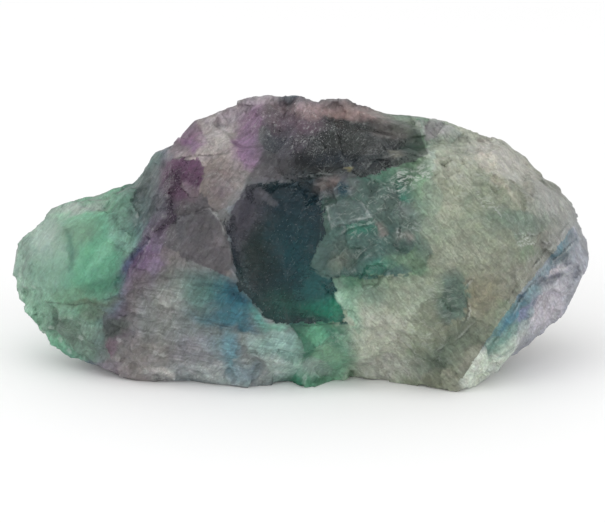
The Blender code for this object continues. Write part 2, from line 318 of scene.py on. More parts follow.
# the smooth places: middle (X, V), reach (long, high), how much of the plates is taken away
SMOOTH_PLACES = [
    ((-2.5, 12.5), (6.5, 8.5), 0.85), ((-29.0, 12.5), (7.5, 6.5), 0.75), ((-10.0, 5.0), (10.0, 5.5), 0.7),
    ((20.0, 14.0), (8.5, 8.0), 0.8), ((-9.5, 24.0), (6.5, 6.5), 0.88), ((5.0, 26.0), (11.0, 5.0), 0.7),
    ((0.0, 0.0), (24.0, 3.5), 0.6), ((27.0, 20.0), (8.0, 8.0), 0.3), ((30.0, 3.0), (7.0, 8.5), 0.8),
    ((-27.0, 3.0), (7.0, 4.0), 0.45), ((11.0, 3.5), (7.0, 6.0), 0.5),
]
PLATE_SHARE, CHIP_SHARE = 0.8, 0.5
SKIN_SHEETS = 3  # the skin is about three times the stone's length by its depth
MISFIT = 0.35  # lets a plate take a cleavage face that isn't quite the nearest
STEEPEST = 0.5  # the steepest plane counts as 60 degrees off the skin
FRONT_SEED, BACK_SEED = 7, 11
# between which two values of a normal's share out of the front a part fades in
FACING, BEHIND, WORN_RIM = (0.0, 0.3), (-0.75, -0.4), (0.1, 0.6)
RIM_SHARE = 0.35  # of the plates is left on the worn rim between front and back


def nearest_middle(places, middles):
    tree = kdtree.KDTree(len(middles))
    for number, middle in enumerate(middles):
        tree.insert(middle, number)
    tree.balance()
    return np.array([tree.find(place)[1] for place in places])


def plates(places, normals, size, lean, deepest, chance):
    """The number of each point's plate, the plates' middles, and how far each plane is."""
    skin = np.ptp(places[:, 0]) * np.ptp(places[:, 1]) * SKIN_SHEETS
    picked = chance.choice(len(places), int(skin / size**2), replace=False)
    owner = nearest_middle(places, places[picked])
    fit = normals[picked] @ CLEAVAGE.T + chance.uniform(0, MISFIT, (len(picked), len(CLEAVAGE)))
    planes = (1 - lean) * normals[picked] + lean * CLEAVAGE[fit.argmax(axis=1)]
    planes /= np.linalg.norm(planes, axis=1)[:, None]
    across = ((places[picked][owner] - places) * planes[owner]).sum(axis=1)
    facing = np.maximum(STEEPEST, (normals * planes[owner]).sum(axis=1))
    return owner, places[picked], np.clip(across / facing, -deepest, deepest)


places, normals = read_points(chunk)
back_chance = np.random.default_rng(BACK_SEED)
_, _, back_rise = plates(places, normals, BACK_PLATE_MM, BACK_LEAN, BACK_DEEPEST, back_chance)
behind = 1 - smooth_step(normals @ OUT_FRONT, *BEHIND)
write_points(chunk, places + normals * (behind * BACK_SHARE * back_rise)[:, None])

chance = np.random.default_rng(FRONT_SEED)
places, normals = read_points(chunk)
x, v, out = places[:, 0], places @ UP_FRONT, normals @ OUT_FRONT
kept = np.ones(len(places))
for (middle_x, middle_v), (long, high), taken in SMOOTH_PLACES:
    away = np.hypot((x - middle_x) / long, (v - middle_v) / high)
    kept *= 1 - taken * (1 - smooth_step(away, 0.7, 1.1)) * smooth_step(out, *FACING)
plate, plate_middles, rise = plates(places, normals, PLATE_MM, PLATE_LEAN, PLATE_DEEPEST, chance)
chip, _, chip_rise = plates(places, normals, CHIP_SIZE_MM, CHIP_LEAN, CHIP_DEEPEST, chance)
kept *= RIM_SHARE + (1 - RIM_SHARE) * smooth_step(np.abs(out), *WORN_RIM)
places += normals * (kept * (PLATE_SHARE * rise + CHIP_SHARE * chip_rise))[:, None]
write_points(chunk, places)
print("plates:", plate.max() + 1, "chips:", chip.max() + 1)


# %% [markdown]
# ## Ledges
#
# Some steps can be followed by eye for a long way: a crack across the cheek, the rims of the
# plates beside the window, the ledges of the strip at the right end. Each is a line on the
# front. Left of the line the skin stands up by the rise, and sinks back to nothing over the
# reach. Right of it nothing moves, so the line itself becomes a small step.

# %% Ledges
# name: rise, reach, line of (X, V) points, all in millimetres
LEDGES = {
    "cheek crack": (0.17, 2.0, [(-15.5, 24.1), (-12.3, 24.4), (-10.3, 24.5), (-6.9, 24.9)]),
    "wedge rim": (0.12, 1.2, [(-6.9, 8.6), (-8.4, 10.6), (-8.4, 13.4), (-9.5, 16.1), (-11.1, 18.2)]),
    "wedge top": (0.15, 1.4, [(-11.1, 18.2), (-13.9, 18.8), (-16.3, 18.2)]),
    "light plate": (0.20, 2.5, [
        (2.9, 18.2), (3.6, 15.3), (6.1, 16.3), (8.8, 16.7), (7.3, 18.7), (5.3, 18.8), (2.9, 18.2),
    ]),
    "block nose": (0.20, 2.2, [(3.1, 14.9), (1.5, 12.2), (1.0, 10.6), (3.7, 9.5), (7.1, 9.9)]),
    "block foot": (0.15, 2.2, [(7.1, 9.9), (11.4, 9.5), (14.8, 10.4), (15.6, 12.1), (14.7, 14.2)]),
    "block seam": (0.15, 1.4, [(4.2, 14.2), (5.9, 15.4), (10.1, 16.3)]),
    "inner seam": (0.15, 1.4, [(7.3, 11.3), (9.5, 12.8), (11.7, 14.0), (11.9, 16.1)]),
    "roof eave": (0.23, 1.6, [
        (0.1, 21.3), (2.3, 22.0), (5.3, 21.5), (7.6, 22.0), (8.8, 23.6), (10.5, 23.9), (12.1, 24.8),
        (15.5, 23.9),
    ]),
    "emerald foot": (0.15, 1.6, [(-1.8, 3.7), (0.1, 3.7), (2.3, 3.8), (4.9, 4.1)]),
    "aqua foot": (0.12, 1.6, [
        (0.3, 0.3), (0.0, 1.7), (-1.0, 3.2), (-2.3, 3.7), (-4.3, 4.5), (-6.6, 6.9), (-7.4, 8.2),
    ]),
    "blue edge": (0.08, 1.2, [(-4.9, 2.8), (-7.5, 3.1), (-10.4, 3.8)]),
    "strip one": (0.20, 1.4, [(33.0, 16.1), (29.7, 12.5), (26.3, 8.6), (23.5, 4.1), (22.2, 1.0)]),
    "strip two": (0.20, 1.4, [(33.9, 14.0), (30.6, 11.3), (27.5, 8.0), (24.9, 4.1), (22.9, 0.5)]),
    "strip three": (0.20, 1.4, [(34.0, 11.3), (31.1, 10.4), (28.9, 8.7), (31.1, 9.1), (33.7, 10.1)]),
    "pit wall": (0.16, 1.2, [(20.4, 9.2), (19.5, 8.1), (20.0, 7.0), (20.3, 5.6), (20.0, 4.3)]),
    "violet crack": (0.15, 1.4, [(-21.9, 7.9), (-19.8, 8.8), (-16.3, 9.4)]),
    "green thread": (0.12, 1.8, [(-31.3, 6.5), (-27.5, 6.2), (-23.1, 7.0), (-21.1, 7.9)]),
    "scratch": (0.12, 0.8, [(21.3, 19.7), (22.7, 18.4), (23.9, 16.9)]),
    "cream ledge": (0.17, 1.6, [(24.6, 19.7), (23.2, 21.2), (21.5, 22.1)]),
    "low ledge": (0.15, 1.4, [(16.8, 0.8), (19.1, 2.0), (21.3, 4.4)]),
    "top ledge": (0.15, 1.4, [(17.3, 22.9), (15.9, 23.6), (15.3, 26.2)]),
    "right ledge": (0.15, 1.4, [(26.3, 14.6), (28.7, 14.5), (30.1, 13.3)]),
}
END_FADE_MM = 1.2
SHARP_DEGREES = 24  # a bend beyond this shows as an edge


def beside(x, v, line):
    """The distance to a line, positive on its left, and the distance past its ends."""
    best, side, past = np.full(len(x), np.inf), np.zeros(len(x)), np.zeros(len(x))
    for number, ((x0, v0), (x1, v1)) in enumerate(zip(line, line[1:])):
        long = math.hypot(x1 - x0, v1 - v0)
        along = ((x - x0) * (x1 - x0) + (v - v0) * (v1 - v0)) / long
        left = ((v - v0) * (x1 - x0) - (x - x0) * (v1 - v0)) / long
        over = np.maximum(0, np.maximum(-along, along - long))
        away = np.hypot(left, over)
        closer = away < best
        best = np.where(closer, away, best)
        side = np.where(closer, np.sign(left), side)
        past = np.where(closer, over, past)
    return best * side, past


places, normals = read_points(chunk)
x, v, out = places[:, 0], places @ UP_FRONT, normals @ OUT_FRONT
front_share = smooth_step(out, 0.0, 0.25) * (places @ OUT_FRONT > 0)
for rise, reach, line in LEDGES.values():
    left, past = beside(x, v, line)
    lifted = np.where((left > 0) & (left < reach), rise * (1 - left / reach), 0)
    lifted *= np.clip(1 - past / END_FADE_MM, 0, 1) * front_share
    places += OUT_FRONT * lifted[:, None]
low, high = [np.array(corner) / MM for corner in (cad_low, cad_high)]
write_points(chunk, np.clip(places, low, high))
bpy.ops.object.shade_smooth_by_angle(angle=math.radians(SHARP_DEGREES))
print("ledges:", len(LEDGES))


# %% [markdown]
# ## Where the colours are laid out
#
# The colours are painted on the points of the net, each worked out from the point's X, W and V.
# A clean cloud border would look painted. In the real stone a colour border is frayed, and it
# jumps from one broken plate to the next. So the place at which the colours are read wanders
# a little by noise, and is then pulled part of the way to the middle of its own plate. On the
# smooth faces there is hardly any pull, and the colours blend softly.

# %% Places at which the colours are read
WANDER_MM, WANDER_BY = 4.0, 1.3
RUFFLE_MM, RUFFLE_BY = 0.9, 0.45
PLATE_PULL, SMOOTH_PULL = 0.34, 0.06
WANDER_SEED = 1795474778  # any number does; without one, the noise vectors are new in every run
SOFT_PLACES = [
    ((-26.0, 12.0), (8.0, 7.0), 0, 0.3, 1.0), ((-11.0, 5.0), (10.0, 5.5), -10, 0.3, 1.0),
    ((-2.0, 11.0), (7.0, 9.0), 0, 0.3, 1.0), ((5.0, 26.5), (10.0, 5.0), 0, 0.3, 1.0),
]


def wander(spots, size_mm, by_mm):
    """The spots, each moved about by up to by_mm with a noise of the given grain size."""
    return spots + by_mm * np.array([noise.noise_vector(Vector(s) / size_mm) for s in spots])


noise.seed_set(WANDER_SEED)
places, normals = read_points(chunk)
plain = on_front(places)
crisp = wander(plain, RUFFLE_MM, 0.6 * RUFFLE_BY)
wandered = wander(wander(plain, WANDER_MM, WANDER_BY), RUFFLE_MM, RUFFLE_BY)
pull = (PLATE_PULL + (SMOOTH_PULL - PLATE_PULL) * strongest(plain, SOFT_PLACES))[:, None]
grained = (1 - pull) * wandered + pull * on_front(plate_middles)[plate]
print("places read, furthest moved:", np.abs(grained - plain).max().round(1), "mm")


# %% [markdown]
# ## Painting on the net
#
# Colours are written as the hex codes that a paint program shows. Blender calculates in linear
# light, so one function turns a code into linear values. A stain is a cloud of colour with a
# soft or a sharp edge. Where a break ends the cloud, it is cut off along a drawn line.

# %% Helpers for painting
USUAL_EDGE = 0.6


def linear(code, alpha=1.0):
    """An sRGB hex code as a linear colour."""
    parts = [int(code[i:i + 2], 16) / 255 for i in (1, 3, 5)]
    return [p / 12.92 if p <= 0.04045 else ((p + 0.055) / 1.055) ** 2.4 for p in parts] + [alpha]


def paint(below, stains):
    """Paints the stains one after another over what is below."""
    for x, v, long, wide, turn, code, strength, *edge in stains.values():
        share = strength * stain(grained, (x, v), (long, wide), turn, *(edge or [USUAL_EDGE]))
        below = below + (np.array(linear(code)[:3]) - below) * share[:, None]
    return below


# %% [markdown]
# ## The colour layers
#
# Fluorite's layers are planes through the whole stone, so they show at the back as well. They
# lean a little. Their order from the narrow end is milky green, green, a thin blue and violet
# pair, mauve grey, slate, dark teal, emerald, pale grey green and, last, beige.

# %% The layers
LAYER_LEAN = 0.35  # how far a layer runs along the stone for each millimetre up the front
LAYER_MIDDLE_V = 13.0
LAYERS = [
    (-36, "#a9b8ae"), (-31, "#8fb09c"), (-26, "#76a68c"), (-22.5, "#6a8f83"), (-21, "#626c76"),
    (-19.5, "#6c6474"), (-17.5, "#665a68"), (-15, "#74706f"), (-10, "#7b7c7d"), (-7, "#4f6672"),
    (-4, "#2f434b"), (2, "#2f4b4c"), (5.5, "#44745f"), (9, "#6f8975"), (14, "#858f80"),
    (22, "#828677"), (29, "#8b8d84"), (36, "#989aa0"),
]
across = grained[:, 0] - LAYER_LEAN * (grained[:, 2] - LAYER_MIDDLE_V)
stops = [where for where, code in LAYERS]
tints = np.array([linear(code)[:3] for where, code in LAYERS])
colour = np.column_stack([np.interp(across, stops, tints[:, channel]) for channel in range(3)])

# thin growth lines inside the layers; the front has its own stains instead
GROWTH_LINE_MM, GROWTH_LINES = 0.9, 0.35
lines = np.array([noise.noise_vector(Vector((along / GROWTH_LINE_MM, 0.5, 0.5))) for along in across])
colour *= 1 + GROWTH_LINES * lines * (1 - smooth_step(normals @ OUT_FRONT, -0.3, 0.1))[:, None]
print("layers:", len(LAYERS))


# %% [markdown]
# ## The front's own clouds
#
# Within its layers the front shows milky ends, veins, rubbed spots and haze. An image could hold
# them, but soft ellipses laid over each other stay clean at any size and are easy to move.

# %% Stains of the front
# name: X, V, how long, how wide, turn in degrees, colour, strength, edge where it isn't the usual one
STAINS = {
    # the narrow green end
    "milky tip": (-31.9, 14.4, 2.8, 3.2, 30, "#a3b3ab", 0.9),
    "milky top": (-27.9, 18.0, 4.2, 0.9, 13, "#a0a9a3", 0.9, 0.5),
    "pale mint": (-30.6, 9.4, 4.0, 3.6, 0, "#809c8e", 0.9),
    "mint glow": (-24.8, 11.0, 5.8, 1.9, 50, "#6b9b83", 0.9, 0.8),
    "mint ray": (-23.8, 13.2, 3.0, 0.6, 56, "#8ab89f", 0.7),
    "grey ray": (-26.6, 14.0, 3.6, 0.6, 56, "#6b8a7b", 0.6),
    "left edge": (-34.6, 11.5, 1.6, 4.5, 0, "#7c9187", 0.8),
    "grey veil": (-27.6, 15.0, 2.6, 1.4, 10, "#76907f", 0.8),
    "green streak": (-28.2, 12.6, 0.5, 2.2, 12, "#54766a", 0.7),
    "green shoulder": (-21.8, 17.6, 2.4, 1.4, 10, "#637f70", 0.8, 0.5),
    "grey neck": (-21.8, 14.4, 1.3, 3.0, 14, "#7b978c", 0.8),
    "neck green": (-19.2, 19.0, 1.2, 3.2, -24, "#6a7a78", 0.9),
    "low green": (-27.6, 7.2, 4.2, 1.2, 8, "#6f8c78", 0.8),
    "brown thread": (-26.0, 6.4, 3.6, 0.3, 5, "#626b5a", 0.6),
    "underside": (-27.5, 2.6, 5.2, 2.4, -30, "#74857a", 0.85, 0.5),
    "tip foot": (-29.2, 2.4, 3.6, 1.7, -35, "#66776d", 0.9),
    "neck foot": (-24.2, 1.4, 1.8, 1.5, -30, "#61716f", 0.85, 0.5),
    # the neck's violet layer
    "neck dark": (-18.0, 20.6, 1.7, 3.6, -20, "#626b6c", 0.9, 0.5),
    "neck shade": (-16.9, 19.6, 1.2, 3.6, -14, "#54545c", 0.9, 0.5),
    "blue vein": (-20.5, 11.3, 0.6, 3.1, -43, "#555c78", 0.85),
    "violet vein": (-18.6, 11.9, 0.8, 3.0, -42, "#72607a", 0.85),
    "lilac wedge": (-17.8, 10.6, 1.5, 0.9, 20, "#776a7f", 0.7),
    "neck top": (-18.3, 22.6, 1.1, 1.8, -24, "#7c8082", 0.9),
    "neck crest": (-19.8, 21.2, 1.6, 2.8, -35, "#67706f", 0.85),
    "deep green": (-24.2, 8.4, 1.9, 1.0, 20, "#507c68", 0.8, 0.7),
    "foot grey": (-22.0, -0.2, 2.8, 2.0, -25, "#7e7c7a", 0.85),
    "vein head": (-17.0, 13.8, 0.7, 1.4, -20, "#847a8d", 0.8),
    "plum crack": (-16.4, 17.8, 0.6, 4.4, -12, "#332837", 0.9, 0.5),
    "dark crease": (-18.2, 9.2, 1.4, 0.25, 12, "#3f3347", 0.8, 0.5),
    "mauve foot": (-20.4, 5.8, 1.6, 4.0, -25, "#6e6568", 0.85, 0.5),
    "purple foot": (-23.0, 0.8, 0.6, 1.8, -25, "#6b5a66", 0.75, 0.5),
    "dark block": (-23.0, 3.2, 2.2, 1.5, 10, "#505955", 0.85, 0.2),
    "brown crumbs": (-25.4, 5.4, 2.0, 1.0, 0, "#66695c", 0.6),
    # the cheek
    "cheek ground": (-10.5, 24.5, 5.5, 6.0, 20, "#918a88", 0.9, 0.4),
    "pink cheek": (-13.8, 26.6, 1.6, 1.4, 40, "#7f667c", 0.85),
    "purple dab": (-13.8, 25.9, 0.6, 0.7, 0, "#785c7e", 0.7, 0.7),
    "cream cheek": (-10.0, 27.6, 2.6, 1.9, 35, "#aaa6a4", 0.9),
    "pale ridge": (-13.3, 24.6, 1.9, 0.28, 8, "#b6abab", 0.5, 0.5),
    # painted light: the upward-facing crest of the cheek is painted paler, as if lit from above
    "crest painted light": (-7.0, 29.9, 4.2, 1.2, 24, "#aca3aa", 0.9),
    "lilac strip": (-5.8, 28.2, 1.3, 2.8, -24, "#8a7088", 0.9),
    "beige cheek": (-10.6, 21.0, 2.4, 2.7, 0, "#817875", 0.9, 0.5),
    "rosy cheek": (-9.8, 20.2, 1.8, 1.6, 0, "#746d72", 0.8),
    "grey cheek": (-3.0, 23.4, 2.0, 1.8, 0, "#545156", 0.8, 0.5),
    "brow grey": (-4.0, 22.1, 3.4, 2.0, -8, "#686467", 0.9),
    "lilac foot": (-6.6, 25.0, 1.7, 2.0, 5, "#8f7790", 1.0),
    "plum dust": (-2.9, 27.9, 1.4, 1.4, 30, "#6a5866", 0.8),
    "violet crest": (-1.6, 29.9, 3.0, 1.8, 0, "#7c6d73", 0.85),
    # the middle
    "green glow": (15.6, 17.6, 2.6, 3.6, 0, "#85998a", 0.7, 0.7),
    "grey green": (12.8, 16.0, 2.2, 1.8, 0, "#5f6e69", 0.8),
    "green under": (15.6, 21.8, 1.2, 1.8, 0, "#71887a", 0.8),
    "bright green": (14.3, 19.6, 0.9, 2.4, 6, "#7ea083", 0.8),
    "green brow": (12.9, 21.9, 1.5, 1.1, 0, "#62786a", 0.8),
    "light green": (13.4, 10.8, 1.8, 1.1, 0, "#68856c", 0.8, 0.4),
    # the right end
    "white top": (24.5, 24.8, 6.2, 3.0, -25, "#b9b8b2", 0.9),
    "pink cream": (22.8, 23.4, 2.0, 1.0, -30, "#c2beb4", 0.7),
    "white corner": (30.5, 19.2, 2.6, 3.2, -30, "#a3a4a1", 0.8, 0.5),
    "cream right": (20.0, 16.4, 6.5, 5.2, 0, "#929a8b", 0.85, 0.7),
    "cream top": (18.0, 22.8, 2.6, 2.4, -20, "#b3b6a9", 0.85),
    "cream left": (18.0, 18.6, 1.8, 2.6, 0, "#a3a697", 0.7),
    "cream brow": (24.3, 20.9, 2.2, 0.45, -38, "#b9b6a8", 0.6),
    "olive right": (20.5, 11.5, 4.0, 3.0, 0, "#93978a", 0.7, 0.7),
    "green haze": (26.0, 16.2, 4.0, 1.5, 0, "#6d7e73", 0.8),
    "green haze low": (27.4, 12.6, 1.8, 1.4, 20, "#72846f", 0.7),
    "mint edge": (16.3, 24.2, 0.4, 2.2, -8, "#a2b0a6", 0.8, 0.7),
    "mint top": (18.2, 26.8, 1.9, 0.8, -15, "#919c94", 0.6, 0.5),
    "grey top": (16.2, 27.6, 2.4, 1.1, -15, "#b0aeb0", 0.9, 0.5),
    "cream low": (9.2, 3.0, 4.2, 3.8, 0, "#b1b4a8", 0.85, 0.5),
    "mint low": (8.2, 7.6, 2.4, 1.6, 0, "#7f9386", 0.7),
    "grey middle": (12.6, 7.6, 2.6, 1.8, 0, "#8a9184", 0.7),
    "grey low": (11.0, -1.6, 5.0, 1.6, 0, "#9d9e97", 0.8, 0.5),
    "pale middle": (14.4, 7.4, 1.6, 1.6, 0, "#8b9386", 0.7),
    "tan patch": (22.0, 7.4, 2.0, 3.0, -20, "#8b8775", 0.65, 0.5),
    "green low right": (23.6, 5.0, 1.2, 2.4, -35, "#74826f", 0.7),
    "grey low right": (21.6, 3.6, 1.6, 1.8, -25, "#858c7e", 0.7),
    "dark low": (17.4, 0.6, 4.0, 1.8, 35, "#687568", 0.8, 0.7),
    "darker low": (16.8, -0.9, 2.0, 1.2, 20, "#5f6b5f", 0.7),
}

colour = paint(colour, STAINS)
print("stains:", len(STAINS))


# %% [markdown]
# ## Faces that end at an edge
#
# Where a break ends at an edge, its colour ends there too, in one clean jump that no soft cloud
# could make. So each such face has a ground colour, a cloud that holds it, the lines at which it
# breaks off (the face lies on their left), and stains of its own. The last one is the striped end.

